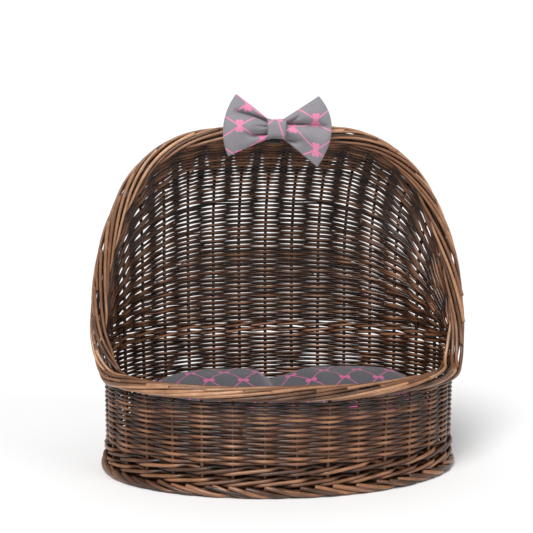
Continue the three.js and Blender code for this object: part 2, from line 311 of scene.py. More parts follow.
class Nodes:
    """Short names for building a material's node tree."""

    def __init__(self, name):
        self.material = bpy.data.materials.new(name)
        self.material.use_nodes = True
        self.tree = self.material.node_tree
        self.shader = self.tree.nodes["Principled BSDF"]

    def make(self, kind, inputs=None, **settings):
        node = self.tree.nodes.new("ShaderNode" + kind)
        for key, value in settings.items():
            setattr(node, key, value)
        for key, value in (inputs or {}).items():
            self.put(value, node.inputs[key])
        return node

    def put(self, value, socket):
        if isinstance(value, bpy.types.NodeSocket):
            self.tree.links.new(value, socket)
        else:
            socket.default_value = value

    def math(self, operation, a, b=0.0, c=0.0):
        return self.make("Math", {0: a, 1: b, 2: c}, operation=operation).outputs[0]

    def attribute(self, name, output):
        return self.make("Attribute", attribute_name=name).outputs[output]

    def noise(self, vector, scale, detail=3.0, stretch=(1, 1, 1)):
        moved = self.make("VectorMath", {0: vector, 1: stretch}, operation="MULTIPLY").outputs[0]
        return self.make("TexNoise", {"Vector": moved, "Scale": scale, "Detail": detail}).outputs["Fac"]

    def ramp(self, factor, stops):
        node = self.make("ValToRGB", {"Fac": factor})
        ramp = node.color_ramp
        ramp.elements[0].position, ramp.elements[0].color = stops[0][0], (*stops[0][1], 1)
        ramp.elements[1].position, ramp.elements[1].color = stops[-1][0], (*stops[-1][1], 1)
        for position, colour in stops[1:-1]:
            ramp.elements.new(position).color = (*colour, 1)
        return node.outputs["Color"]

    def grey(self, value):
        return self.make("CombineColor", {0: value, 1: value, 2: value}).outputs[0]

    def mix(self, factor, a, b, blend="MIX"):
        node = self.make("Mix", data_type="RGBA", blend_type=blend)
        for value, socket in ((factor, node.inputs[0]), (a, node.inputs[6]), (b, node.inputs[7])):
            self.put(value, socket)
        return node.outputs[2]

    def bump(self, height, strength, distance):
        node = self.make("Bump", {"Height": height, "Strength": strength, "Distance": distance})
        self.put(node.outputs["Normal"], self.shader.inputs["Normal"])


PATCH_SHARE, TINT_SHARE, STREAK_SHARE = 0.7, 0.75, 0.55
BLEND_SHIFT = -0.22
FLECK_RANGE = {"From Min": 0.36, "From Max": 0.46, "To Min": 0.55, "To Max": 1.0}
STREAK_GLOSS = 0.2
BARK_DEPTH = 0.0006


def willow(name, dark, middle, light, roughness):
    """Stained, lacquered willow bark: streaks along the rod, flecks and worn lighter patches."""
    n = Nodes(name)
    grain = n.attribute("grain", "Vector")
    # The tint carries each rod's own tone and, on many rods, painted highlight and painted shade as
    # well.
    tint = n.attribute("tint", "Fac")
    patches = n.noise(grain, 0.035)
    streaks = n.noise(grain, 1.0, 4.0, (0.06, 1.1, 1.1))
    flecks = n.noise(grain, 0.9, 5.0, (0.5, 1.5, 1.5))
    tinted = n.math("MULTIPLY_ADD", tint, TINT_SHARE, BLEND_SHIFT)
    blend = n.math("MULTIPLY_ADD", patches, PATCH_SHARE, tinted)
    blend = n.math("MULTIPLY_ADD", n.math("SUBTRACT", streaks, 0.5), STREAK_SHARE, blend)
    colour = n.ramp(blend, [(0.0, dark), (0.5, middle), (1.0, light)])
    fleck = n.grey(n.make("MapRange", {"Value": flecks, **FLECK_RANGE}).outputs[0])
    n.put(n.mix(1.0, colour, fleck, "MULTIPLY"), n.shader.inputs["Base Color"])
    n.put(n.math("MULTIPLY_ADD", streaks, STREAK_GLOSS, roughness), n.shader.inputs["Roughness"])
    n.shader.inputs["Specular IOR Level"].default_value = 0.5
    bark = n.math("MULTIPLY_ADD", streaks, 0.7, n.math("MULTIPLY", flecks, 0.4))
    n.bump(bark, 0.5, BARK_DEPTH)
    return n.material


WALL_WILLOW = willow("wall_willow", dark=(0.008, 0.004, 0.003), middle=(0.090, 0.036, 0.016),
                     light=(0.37, 0.170, 0.083), roughness=0.22)
RIM_WILLOW = willow("rim_willow", dark=(0.030, 0.012, 0.006), middle=(0.25, 0.113, 0.054),
                    light=(0.58, 0.320, 0.180), roughness=0.22)
BASE_WILLOW = willow("base_willow", dark=(0.03, 0.013, 0.008), middle=(0.12, 0.055, 0.03),
                     light=(0.26, 0.13, 0.07), roughness=0.4)


# ---------------- weaving

WAVE_STRAIGHTNESS = 0.9
TINT_RANGE = (0.05, 0.8)
# How much a rod's tint is raised as painted highlight round the stakes and lowered as painted shade
# between them.
PAINTED_LIGHT_CONTRAST = 0.65
PAINTED_LIGHT_MIDDLE = 0.62


def wave(stake):
    """In front of a stake at even numbers and behind at odd ones, nearly straight between."""
    return np.arcsin(WAVE_STRAIGHTNESS * np.cos(np.pi * stake)) / np.arcsin(WAVE_STRAIGHTNESS)


def tone_with_painted_light(swing):
    """Tint of one rod: a random tone, with painted highlight where it bends round a stake and painted
    shade between stakes.
    """
    return rng.uniform(*TINT_RANGE) + PAINTED_LIGHT_CONTRAST * (np.abs(swing) - PAINTED_LIGHT_MIDDLE)


def row_steps(low, high, per_stake=7):
    return np.linspace(low, high, max(4, int(round((high - low) * per_stake))))


# Size, change per stake, start and change per millimetre of height of each slow wave.
UNEVENNESS = ((0.5, 0.83, 0.0, 0.021), (0.4, 1.91, 1.3, 0.05))


def undulate(stake, height):
    """Slow unevenness that neighbouring rows share."""
    return sum(size * np.sin(stake * per_stake + start + height * per_mm)
               for size, per_stake, start, per_mm in UNEVENNESS)


TUCK_LENGTH = 0.25


def tucked_end(stakes, radius, depth):
    """How far the start of a rod turns in behind its stake. depth is in rod radii."""
    return depth * radius * np.exp(-(stakes - stakes[0]) / TUCK_LENGTH)


WALL_TUCK = 1.3


def wall_rod(rods, stakes, height, parity, radius):
    """One weaver round the wall, its ends turned in behind a stake."""
    angle = angle_at(stakes)
    swing = wave(stakes + parity)
    offset = WEAVE_SWING * swing - tucked_end(stakes, radius, WALL_TUCK)
    path = oval(angle, height + undulate(stakes, height))
    path = path + oval_out(angle) * offset[:, None]
    rods.add(path, radius, stack(0 * angle, 0, 1), tone_with_painted_light(swing))


PITCH_AT_FOOT = 4.35
PITCH_AT_FRONT_RIM = 3.0
PITCH_ABOVE = 3.6


def row_pitch(height):
    """The weavers are thicker near the foot, and thicker again above the front rim."""
    if height > FRONT_WEAVE_TOP:
        return PITCH_ABOVE
    up = (height - WALL_LOW[2]) / (FRONT_WEAVE_TOP - WALL_LOW[2])
    return PITCH_AT_FOOT + (PITCH_AT_FRONT_RIM - PITCH_AT_FOOT) * up


# Radius of a rod for each millimetre between rows.
ROD_FILL = 0.54
ROD_FILL_LOW = 0.56
SNUG_FILL = 0.17
SNUG_REACH = 1.3


def snug(stakes):
    """The rods lie closer beside the arch, where they are packed down against its foot."""
    from_arch = np.clip(np.minimum(stakes, HALF_WAY - stakes), 0, None)
    return 1 + SNUG_FILL * np.exp(-from_arch / SNUG_REACH)


# Lengths along a row, in stakes.
ROD_PAIRS = (5, 9)
JOIN_OVERLAP = 0.6
CLOSING_OVERLAP = 0.3
SHORTEST_WALL_ROD = 4
WALL_REACH = 0.8
WALL_REACH_LOW = 0.8
LOW_REACH_HEIGHT = 18
ROW_SHAKE = 0.12


def wall_row(rods, height, row):
    """Weavers end to end: right round the basket low down, and across the back above."""
    pitch = row_pitch(height)
    whole = height < FRONT_WEAVE_TOP
    # Just above the low front the rows run on under the border, where it turns up.
    low = 1 - smoothstep(height, FRONT_WEAVE_TOP, FRONT_WEAVE_TOP + LOW_REACH_HEIGHT)
    reach = WALL_REACH + WALL_REACH_LOW * low
    here = rng.integers(0, STAKES) if whole else -reach
    end = here + STAKES if whole else HALF_WAY + reach
    close = end + (CLOSING_OVERLAP if whole else 0)
    while here < end - 0.5:
        length = rng.integers(*ROD_PAIRS) * 2 + JOIN_OVERLAP
        stop = min(here + length, close)
        if end - stop < SHORTEST_WALL_ROD:
            stop = close
        stakes = row_steps(here, stop)
        fill = ROD_FILL_LOW if whole else ROD_FILL * snug(stakes)
        radius = fill * pitch * taper(len(stakes), 1.08, 0.92)
        wall_rod(rods, stakes, height + rng.normal(0, ROW_SHAKE), row, radius)
        here = stop - JOIN_OVERLAP if stop < end else end


def wall_weavers():
    rods = Rods()
    height = WALL_LOW[2] + row_pitch(WALL_LOW[2]) / 2
    row = 0
    while height < WALL_HIGH[2]:
        wall_row(rods, height, row)
        height += row_pitch(height)
        row += 1
    return rods.build("wall_weavers", WALL_WILLOW)


HOOD_PITCH = 3.7
HOOD_OVERHANG = 0.35
HOOD_COLUMNS = 700
HOOD_LEVELS = 120
# Rows over which one more row swells from nothing to full thickness, and the thickness,
# from 0 to 1, at which a rod of it begins.
ROW_FADE = 5.0
ROW_SHOWN = 0.4
SHORTEST_HOOD_ROD = 3
HOOD_TUCK = 1.2
LEVEL_SHAKE = 0.0006


def hood_rows():
    """Where the hood's rows lie, as a level at each place across, and how full each is there.

    Rows fan out from the middle wale to the arch. Where the hood is shorter, towards the
    sides, there is room for fewer rows, so some stop short.
    """
    places = np.linspace(-HOOD_OVERHANG, HALF_WAY + HOOD_OVERHANG, HOOD_COLUMNS)
    levels = np.linspace(0, 1, HOOD_LEVELS)
    lines = hood(angle_at(places)[:, None], np.broadcast_to(levels, (HOOD_COLUMNS, HOOD_LEVELS)))
    steps = np.linalg.norm(np.diff(lines, axis=1), axis=2)
    lengths = np.concatenate([np.zeros((HOOD_COLUMNS, 1)), np.cumsum(steps, axis=1)], axis=1)
    room = lengths[:, -1] / HOOD_PITCH
    rows = int(round(room.max()))
    # Rows give way in an order that spreads the short ones evenly up the hood.
    golden = (math.sqrt(5) - 1) / 2
    order = np.argsort(np.argsort((np.arange(rows) * golden) % 1.0))
    present = np.clip((room[:, None] - order[None, :]) / ROW_FADE + 0.5, 0, 1)
    centres = (np.cumsum(present, axis=1) - present / 2) * HOOD_PITCH
    centres = centres * (lengths[:, -1:] / (present.sum(axis=1, keepdims=True) * HOOD_PITCH))
    at = np.array([np.interp(centres[i], lengths[i], levels) for i in range(HOOD_COLUMNS)])
    return places, at.T, present.T


def hood_rod(rods, stakes, level, full, parity, is_tucked):
    """One weaver across the hood. full is how full its row is along it."""
    angle = angle_at(stakes)
    radius = ROD_FILL * HOOD_PITCH * snug(stakes) * taper(len(stakes), 1.06, 0.92)
    radius = radius * np.sqrt(full)
    out = hood_out(angle, level)
    swing = wave(stakes + parity)
    offset = WEAVE_SWING * swing
    if is_tucked:
        offset = offset - tucked_end(stakes, radius, HOOD_TUCK)
    path = hood(angle, level) + out * offset[:, None]
    path[:, 2] += 0.5 * undulate(stakes, HOOD_START)
    up = np.cross(out, unit(np.gradient(path, axis=0)))
    rods.add(path, radius, up, tone_with_painted_light(swing))


def hood_weavers():
    rods = Rods()
    places, levels, present = hood_rows()
    for row, (at, full) in enumerate(zip(levels, present)):
        shown = np.flatnonzero(full > ROW_SHOWN)
        low, high = places[shown[0]], places[shown[-1]]
        here = low
        while here < high - CLOSING_OVERLAP:
            stop = min(here + rng.integers(*ROD_PAIRS) * 2, high)
            if high - stop < SHORTEST_HOOD_ROD:
                stop = high
            is_tucked = here > low
            stakes = row_steps(here - (CLOSING_OVERLAP if is_tucked else 0), stop)
            level = np.interp(stakes, places, at) + rng.normal(0, LEVEL_SHAKE)
            hood_rod(rods, stakes, level, np.interp(stakes, places, full), row, is_tucked)
            here = stop
    return rods.build("hood_weavers", WALL_WILLOW)


# ---------------- uprights

STAKE_FOOT = FOOT_HIGH[2] / 2
STAKE_TOP = FRONT_WEAVE_TOP + 6
STAKE_BEND = HOOD_START - 4
STAKE_SWAY, SWAY_REACH = 0.5, 5
HOOD_STEPS = 26
ARCH_FOOT_ANGLE = 0.05
# Tint ranges of the stakes: the back ones are darkened as painted shade, and the front ones keep about
# the usual tint.
SHADED_BACK_TINTS, FRONT_TINTS = (-0.5, 0.0), (0.2, 0.7)


def stake_path(angle, is_back):
    """Up the wall, and for a back stake on up the hood and into the rim."""
    if not is_back:
        return oval(angle, np.linspace(STAKE_FOOT, STAKE_TOP, 8))
    wall = oval(angle, np.linspace(STAKE_FOOT, STAKE_BEND, 12))
    over = hood(np.full(HOOD_STEPS, angle), np.linspace(0, 1, HOOD_STEPS))
    end = arch(np.clip(angle, ARCH_FOOT_ANGLE, np.pi - ARCH_FOOT_ANGLE))
    return np.concatenate([wall, over, end[None]])


def stakes_piece():
    rods = Rods()
    for k in range(STAKES):
        is_back = k <= HALF_WAY
        angle = angle_at(float(k))
        path = stake_path(angle, is_back)
        along = np.cross(oval_out(angle), [0, 0, 1.0])
        path = path + unit(along) * drift(len(path), STAKE_SWAY, SWAY_REACH)[:, None]
        # Back stakes take the darker tint, painted shade.
        tint = rng.uniform(*(SHADED_BACK_TINTS if is_back else FRONT_TINTS))
        radius = taper(len(path), 1.05, 0.85) * STAKE_RADIUS
        rods.add(path, radius, np.broadcast_to(along, path.shape), tint)
    return rods.build("upright_stakes", WALL_WILLOW)


# ---------------- wales

WALE_STRANDS = 3
WALE_ROUNDS = 2
LOWER_WALE_RADIUS = 2.6
MID_WALE_RADIUS = 2.3
MID_WALE_OVERHANG = 0.4
# How far up its band a strand lies at each phase of its twist.
TWIST_PHASES, TWIST_CLIMB = (0, 1.5, 2.5, 3), (-0.5, 1, -1, -0.5)


def wale(name, low, high, first, last, radius):
    """Three rods twisted round the stakes: each passes outside two and behind one."""
    rods = Rods()
    band = (high - low) / WALE_ROUNDS
    furthest = STAKE_RADIUS + radius
    for turn in range(WALE_ROUNDS):
        middle = low + (turn + 0.5) * band
        for strand in range(WALE_STRANDS):
            stakes = row_steps(first, last, 9)
            phase = (stakes - strand - turn) % WALE_STRANDS
            outside = np.cos(2 * np.pi * (phase - 0.5) / WALE_STRANDS)
            swing = np.clip((outside + 0.25) / 0.75, -1, 1)
            offset = furthest * np.sin(swing * np.pi / 2)
            climb = np.interp(phase, TWIST_PHASES, TWIST_CLIMB)
            height = middle + climb * (band / 2 - radius * 0.9) + 0.6 * np.sin(stakes * 1.7 + turn)
            angle = angle_at(stakes)
            path = oval(angle, height) + oval_out(angle) * offset[:, None]
            thick = radius * taper(len(stakes), 1.03, 0.97)
            # The strands' tint carries painted highlight where they lie furthest out and in, and
            # painted shade between.
            rods.add(path, thick, stack(0 * angle, 0, 1), tone_with_painted_light(offset / furthest))
    return rods.build(name, WALL_WILLOW)


# ---------------- borders

RIM_STEPS = 1000
CORNER_SOFTNESS = 8.0
CORNER_REACH = 30


def rim_line():
    """Middle line of the rim, closed and evenly stepped, with its corners softened."""
    front_angle = np.linspace(*FRONT_RIM_ENDS, 200)
    front = oval(front_angle, float(RIM_HEIGHT)) + oval_out(front_angle) * RIM_OUTSET
    over = arch(np.linspace(0, np.pi, 400))
    turn_up = np.array([TURN_UP]) + [0, CENTRE_Y, 0]
    points = np.concatenate([front, turn_up, over, turn_up * [-1, 1, 1]])
    closed = np.concatenate([points, points[:1]])
    lengths = np.concatenate([[0], np.cumsum(np.linalg.norm(np.diff(closed, axis=0), axis=1))])
    even = np.linspace(0, lengths[-1], RIM_STEPS, endpoint=False)
    line = np.stack([np.interp(even, lengths, closed[:, i]) for i in range(3)], -1)
    reach = np.arange(-CORNER_REACH, CORNER_REACH + 1)
    weights = np.exp(-0.5 * (reach / CORNER_SOFTNESS) ** 2)
    weights = weights / weights.sum()
    line = sum(w * np.roll(line, -r, axis=0) for w, r in zip(weights, reach))
    return line, lengths[-1]


def rim_loop():
    """The rim's middle line, its outward and facing directions, half width and length."""
    line, length = rim_line()
    tangent = unit(np.roll(line, -1, axis=0) - np.roll(line, 1, axis=0))
    # The rim faces up along the front and forward over the arch.
    turned = smoothstep(line[:, 2], RIM_HEIGHT, ARCH_FOOT_HEIGHT)[:, None]
    facing = np.array([0, 0, 1.0]) * (1 - turned) + np.array([0, -1.0, 0]) * turned
    out = unit(np.cross(tangent, facing))
    facing = np.cross(out, tangent)
    climb = smoothstep(line[:, 2], ARCH_FOOT_HEIGHT, ARCH_FOOT_HEIGHT + ARCH_RISE)
    narrowed = RIM_SIDE_NARROWING * turned[:, 0] * (1 - climb)
    half_width = RIM_HALF_WIDTH + (RIM_HALF_WIDTH_TOP - RIM_HALF_WIDTH) * climb - narrowed
    line = line + out * narrowed[:, None]
    return line, out, facing, half_width, length


RIM_ROD_SPACING = 46
RIM_ROD_RADIUS = 2.3
RIM_TURN_PER_ROD = math.radians(37)
RIM_TURN_PER_ROD_WIDE = math.radians(34)
# Where round the bundle's section a rod begins and ends: 0 is its outer edge and a quarter
# turn its face. The blunt ends show on the face.
RIM_BACK, RIM_BLUNT, RIM_INNER = math.radians(-75), math.radians(42), math.radians(182)
RIM_UNDER_BLUNT = 0.25
RIM_LAG = 3.4
RIM_ROD_STEPS = 56
RIM_LIFT = (0.8, 2.2)
RIM_SINK = (-1.5, 0.4)
RIM_TUCK, RIM_TUCK_UNDER = 4.0, 2.4
RIM_CORE = ((-0.55, 0.1), (-0.2, -0.35), (-0.15, 0.3), (0.2, -0.1))
CORE_STEPS = 260


def rim_rods():
    line, out, facing, half_width, length = rim_loop()

    def at(place):
        """Interpolates the loop's values at places counted in steps, wrapping round."""
        i = np.floor(place).astype(int)
        t = (place - i)[:, None]
        pick = lambda values: values[i % RIM_STEPS] * (1 - t) + values[(i + 1) % RIM_STEPS] * t
        return pick(line), unit(pick(out)), unit(pick(facing)), pick(half_width[:, None])[:, 0]

    rods = Rods(10)
    number = int(round(length / RIM_ROD_SPACING))
    steps_per_rod = RIM_STEPS / number

    def wrap(begin, first, last, lift, tuck):
        """One rod wound part of the way round the bundle as it runs along."""
        wide = half_width[int(begin * steps_per_rod) % RIM_STEPS]
        broad = (wide - RIM_HALF_WIDTH_TOP) / (RIM_HALF_WIDTH - RIM_HALF_WIDTH_TOP)
        rate = RIM_TURN_PER_ROD + (RIM_TURN_PER_ROD_WIDE - RIM_TURN_PER_ROD) * broad
        span = (last - first) / rate * rng.uniform(0.94, 1.06)
        t = np.linspace(0, 1, RIM_ROD_STEPS)
        middle, o, f, wide = at((begin + span * t) * steps_per_rod)
        turn = first + (last - first) * t + rng.uniform(-0.09, 0.09)
        radius = RIM_ROD_RADIUS * rng.uniform(0.86, 1.12) * (1 + 0.08 * broad)
        radius = radius * taper(RIM_ROD_STEPS, 1.1, 0.82)
        raised = lift * np.exp(-t / 0.12) - tuck * smoothstep(t, 0.8, 1.0)
        raised = raised + 0.5 * np.sin(8 * t + begin) + rng.uniform(*RIM_SINK)
        across = (wide - radius + raised) * np.cos(turn)
        proud = (RIM_HALF_THICKNESS - radius + raised) * np.sin(turn)
        path = middle + o * across[:, None] + f * proud[:, None]
        rods.add(path, radius, o * np.cos(turn)[:, None] + f * np.sin(turn)[:, None])

    for k in range(number):
        begin = k + rng.uniform(-0.2, 0.2)
        wrap(begin, RIM_BLUNT, RIM_INNER, rng.uniform(*RIM_LIFT), RIM_TUCK)
        wrap(begin - RIM_LAG, RIM_BACK, RIM_BLUNT + RIM_UNDER_BLUNT, 0.0, RIM_TUCK_UNDER)
    middle, o, f, wide = at(np.linspace(0, RIM_STEPS, CORE_STEPS))
    for across, proud in RIM_CORE:
        path = middle + o * (wide * across)[:, None] + f * RIM_HALF_THICKNESS * proud
        # The core rods are tinted near the dark end: painted shade in the gaps between the wrapped
        # rods.
        rods.add(path, RIM_ROD_RADIUS, f, tint=-0.7)
    return rods.build("rim_rods", RIM_WILLOW)


FOOT_ROD_RADIUS = 2.8
FOOT_RODS_PER_STAKE = 2
FOOT_ROD_STEPS = 34
FOOT_ROD_SPAN = (1.7, 2.6)
FOOT_ROD_TOP = (10.5, 15.5)
# How far outside the wall's middle surface a foot rod lies, along its course from 0 to 1.
FOOT_COURSE, FOOT_OFFSET = (0, 0.18, 0.5, 0.75, 1), (5, 9.5, 9.5, 5, -5)
FOOT_CORE_OFFSETS, FOOT_CORE_HEIGHTS = (3.5, -3.0), (3.2, 9.0)


def smoothed(values, reach):
    """Mean over reach values each way."""
    width = 2 * reach + 1
    return np.convolve(np.pad(values, reach, mode="edge"), np.ones(width) / width, mode="valid")


def foot_rod(rods, start):
    """A stake's end slants down and forward over the edge of the base, then tucks under."""
    span = rng.uniform(*FOOT_ROD_SPAN)
    t = np.linspace(0, 1, FOOT_ROD_STEPS)
    angle = angle_at(start + span * t)
    radius = FOOT_ROD_RADIUS * rng.uniform(0.85, 1.15) * taper(FOOT_ROD_STEPS, 1.08, 0.85)
    low = radius.max() + 0.3
    top = rng.uniform(*FOOT_ROD_TOP)
    height = low + (top - low) * (1 - smoothstep(t, -0.05, 0.66))
    offset = smoothed(np.interp(t, FOOT_COURSE, FOOT_OFFSET) + rng.uniform(-0.8, 0.8), 3)
    path = oval(angle, height) + oval_out(angle) * offset[:, None]
    rods.add(path, radius, stack(0 * angle, 0, 1))


def corner_loop(rods):
    """One rod stands out in a loop at the left corner before it turns under."""
    t = np.linspace(0, 1, 24)
    angle = math.pi + np.radians(5 + 24 * t)
    bulge = 4 + 9 * np.sin(np.pi * np.minimum(t * 1.25, 1)) ** 0.8
    height = 31 - 27.5 * smoothstep(t, 0, 0.8)
    path = oval(angle, height) + oval_out(angle) * bulge[:, None]
    rods.add(path, FOOT_ROD_RADIUS * taper(24, 1.05, 0.95), stack(0 * angle, 0, 1), 0.5)


def foot_rods():
    rods = Rods(10)
    for k in range(STAKES * FOOT_RODS_PER_STAKE):
        foot_rod(rods, (k + rng.uniform(-0.28, 0.28)) / FOOT_RODS_PER_STAKE)
    corner_loop(rods)
    angle = angle_at(np.linspace(0, STAKES, CORE_STEPS))
    for offset in FOOT_CORE_OFFSETS:
        for height in FOOT_CORE_HEIGHTS:
            path = oval(angle, height) + oval_out(angle) * offset
            rods.add(path, FOOT_ROD_RADIUS, stack(0 * angle, 0, 1), tint=0.1)
    return rods.build("foot_rods", WALL_WILLOW)


# ---------------- base

BASE_ROW_PITCH = 4.6
BASE_STICKS = 6
BASE_SWING = 4.2
BASE_WEAVER_RADIUS = 1.9
BASE_STICK_RADIUS = 2.4
BASE_STEP = 5


def base_weavers():
    """Rods across the width, over one base stick and under the next."""
    rods = Rods(6)
    low, high = cad_box("base_weave_bottom")
    middle = cad_box("base_stick_1")
    height = (middle[0][2] + middle[1][2]) / 2
    spacing = (cad_box("base_stick_2")[0][0] - middle[0][0])
    half_width, half_depth = (high - low)[:2] / 2
    rows = int(2 * half_depth / BASE_ROW_PITCH) - 1
    for row in range(rows):
        y = (row - (rows - 1) / 2) * BASE_ROW_PITCH
        reach = half_width * math.sqrt(1 - (y / half_depth) ** 2)
        x = np.linspace(-reach, reach, max(6, int(reach / BASE_STEP)))
        lift = BASE_SWING * wave(x / spacing + 0.5 + row)
        radius = BASE_WEAVER_RADIUS * taper(len(x), 1.05, 0.95)
        rods.add(stack(x, y + CENTRE_Y, height + lift), radius, stack(0 * x, 1, 0))
    return rods.build("base_weavers", BASE_WILLOW)


def base_sticks():
    rods = Rods()
    for k in range(BASE_STICKS):
        low, high = cad_box(f"base_stick_{k + 1}")
        middle = (low + high) / 2
        y = np.linspace(low[1], high[1], 30)
        radius = BASE_STICK_RADIUS * taper(len(y), 1.0, 1.0)
        rods.add(stack(middle[0], y, middle[2]), radius, stack(0 * y, 0, 1))
    return rods.build("base_sticks", BASE_WILLOW)


# ---------------- fabric

BONE_PITCH = 46
ROW_PITCH = 68
BONE_HALF = 6.8
BONE_KNOB = 2.75
BONE_BAR = 3.5
TRELLIS_LINE = 0.95


THREADS_PER_TURN = 9.0


def trellis_and_bones(n, u, v, motif_size):
    """1 where the cloth is printed: on a thin trellis and on the small bones at its crossings."""
    bone_half, knob_radius, bar_half, line_half = (
        size * motif_size for size in (BONE_HALF, BONE_KNOB, BONE_BAR, TRELLIS_LINE))
    across, up = n.math("DIVIDE", u, BONE_PITCH), n.math("DIVIDE", v, ROW_PITCH)
    one, two = n.math("SUBTRACT", across, up), n.math("ADD", across, up)
    one = n.math("SUBTRACT", one, n.math("ROUND", one))
    two = n.math("SUBTRACT", two, n.math("ROUND", two))
    per_mm = 1 / math.hypot(1 / BONE_PITCH, 1 / ROW_PITCH)
    nearest = n.math("MINIMUM", n.math("ABSOLUTE", one), n.math("ABSOLUTE", two))
    line = n.math("LESS_THAN", n.math("MULTIPLY", nearest, per_mm), line_half)
    bone_x = n.math("ABSOLUTE", n.math("MULTIPLY", n.math("ADD", one, two), BONE_PITCH / 2))
    bone_y = n.math("ABSOLUTE", n.math("MULTIPLY", n.math("SUBTRACT", two, one), ROW_PITCH / 2))
    to_knob_x = n.math("SUBTRACT", bone_x, bone_half)
    to_knob_y = n.math("SUBTRACT", bone_y, knob_radius)
    squared = n.math("MULTIPLY_ADD", to_knob_x, to_knob_x, n.math("MULTIPLY", to_knob_y, to_knob_y))
    knob = n.math("LESS_THAN", squared, knob_radius ** 2)
    in_length = n.math("LESS_THAN", bone_x, bone_half)
    bar = n.math("MULTIPLY", in_length, n.math("LESS_THAN", bone_y, bar_half))
    return n.math("MAXIMUM", line, n.math("MAXIMUM", knob, bar))


def fabric(name, ground, motif, patterned=True, turned=False, motif_size=1.0):
    """Plain woven cotton. A printed trellis joins small bones, where the cloth is patterned."""
    n = Nodes(name)
    if patterned:
        cloth = n.attribute("cloth", "Vector")
    else:
        to_mm = {0: n.make("TexCoord").outputs["Object"], 1: (1000, 1000, 1000)}
        cloth = n.make("VectorMath", to_mm, operation="MULTIPLY").outputs[0]
    parts = n.make("SeparateXYZ", {0: cloth}).outputs
    u, v = (parts[1], parts[0]) if turned else (parts[0], parts[1])
    slub = n.noise(cloth, 0.35, 4.0, (0.35, 2.5, 1.0))
    soil = n.noise(cloth, 0.02, 3.0)
    shade = n.math("MULTIPLY_ADD", slub, 0.30, n.math("MULTIPLY_ADD", soil, 0.22, 0.74))
    colour = n.mix(1.0, n.grey(shade), (*ground, 1), "MULTIPLY")
    if patterned:
        ink = n.mix(n.math("MULTIPLY", slub, 0.25), (*motif, 1), (*ground, 1))
        colour = n.mix(trellis_and_bones(n, u, v, motif_size), colour, ink)
    n.put(colour, n.shader.inputs["Base Color"])
    warp = n.math("SINE", n.math("MULTIPLY", u, THREADS_PER_TURN))
    weft = n.math("SINE", n.math("MULTIPLY", v, THREADS_PER_TURN))
    n.bump(n.math("MULTIPLY_ADD", n.math("MULTIPLY", warp, weft), 0.5, slub), 0.35, 0.0003)
    n.put(n.math("MULTIPLY_ADD", slub, 0.2, 0.72), n.shader.inputs["Roughness"])
    n.shader.inputs["Sheen Weight"].default_value = 0.25
    n.shader.inputs["Sheen Roughness"].default_value = 0.5
    n.shader.inputs["Specular IOR Level"].default_value = 0.3
    return n.material


CUSHION_FABRIC = fabric("cushion_fabric", (0.066, 0.063, 0.073), (0.56, 0.095, 0.27), motif_size=0.8)
BOW_GREY, BOW_PINK = (0.235, 0.225, 0.245), (0.80, 0.22, 0.40)
BOW_FABRIC = fabric("bow_fabric", BOW_GREY, BOW_PINK, turned=True)
KNOT_FABRIC = fabric("knot_fabric", BOW_GREY, BOW_PINK)
# The strap's own colour is not known; it is painted near-black so that it reads as the shade under the
# knot.
STRAP_FABRIC = fabric("strap_fabric", (0.010, 0.008, 0.008), BOW_PINK, patterned=False)


def grid_mesh(name, points, closed_rows, closed_columns):
    """A mesh of quads over a grid of points, rows by columns, each way closed or open."""
    rows, columns = points.shape[:2]
    i = np.arange(rows if closed_rows else rows - 1)[:, None]
    j = np.arange(columns if closed_columns else columns - 1)[None, :]
    corner = lambda a, b: ((i + a) % rows) * columns + (j + b) % columns
    quads = np.stack([corner(0, 0), corner(0, 1), corner(1, 1), corner(1, 0)], -1).reshape(-1, 4)
    mesh = bpy.data.meshes.new(name)
    mesh.from_pydata((points.reshape(-1, 3) * MM).tolist(), [], quads.tolist())
    mesh.update()
    return mesh


def apply_modifiers(piece):
    evaluated = piece.evaluated_get(bpy.context.evaluated_depsgraph_get())
    mesh = bpy.data.meshes.new_from_object(evaluated)
    piece.modifiers.clear()
    piece.data = mesh


def points_of(mesh):
    points = np.zeros(len(mesh.vertices) * 3)
    mesh.vertices.foreach_get("co", points)
    return points.reshape(-1, 3) / MM


def move_points(mesh, points):
    mesh.vertices.foreach_set("co", (points * MM).ravel())
    mesh.update()


def remesh(piece, voxel):
    modifier = piece.modifiers.new("even", "REMESH")
    modifier.mode = "VOXEL"
    modifier.voxel_size = voxel * MM
    apply_modifiers(piece)


def swell(piece, pressure, growth, cap, frames=20):
    """Cloth swells and wrinkles over the piece's own air. No point moves further than cap."""
    start = points_of(piece.data)
    cloth = piece.modifiers.new("cloth", "CLOTH")
    cloth.settings.quality = 6
    cloth.settings.mass = 0.2
    cloth.settings.tension_stiffness = 20
    cloth.settings.compression_stiffness = 20
    cloth.settings.bending_stiffness = 0.3
    cloth.settings.use_pressure = True
    cloth.settings.uniform_pressure_force = pressure
    cloth.settings.shrink_min = -growth
    cloth.settings.effector_weights.gravity = 0
    cloth.point_cache.frame_start = 1
    cloth.point_cache.frame_end = frames
    scene = bpy.context.scene
    for number in range(1, frames + 1):
        scene.frame_set(number)
    apply_modifiers(piece)
    scene.frame_set(1)
    moved = points_of(piece.data) - start
    far = np.linalg.norm(moved, axis=1, keepdims=True)
    move_points(piece.data, start + moved * np.tanh(far / cap) * cap / np.maximum(far, 0.001))


def subdivide(piece, levels=1):
    modifier = piece.modifiers.new("smooth", "SUBSURF")
    modifier.levels = levels
    modifier.render_levels = levels
    apply_modifiers(piece)


def lay_cloth(mesh, cloth):
    """Stores each point's place on the flat cloth, for the print and the weave."""
    mesh.attributes.new("cloth", "FLOAT_VECTOR", "POINT").data.foreach_set("vector", cloth.ravel())


# ---------------- cushion

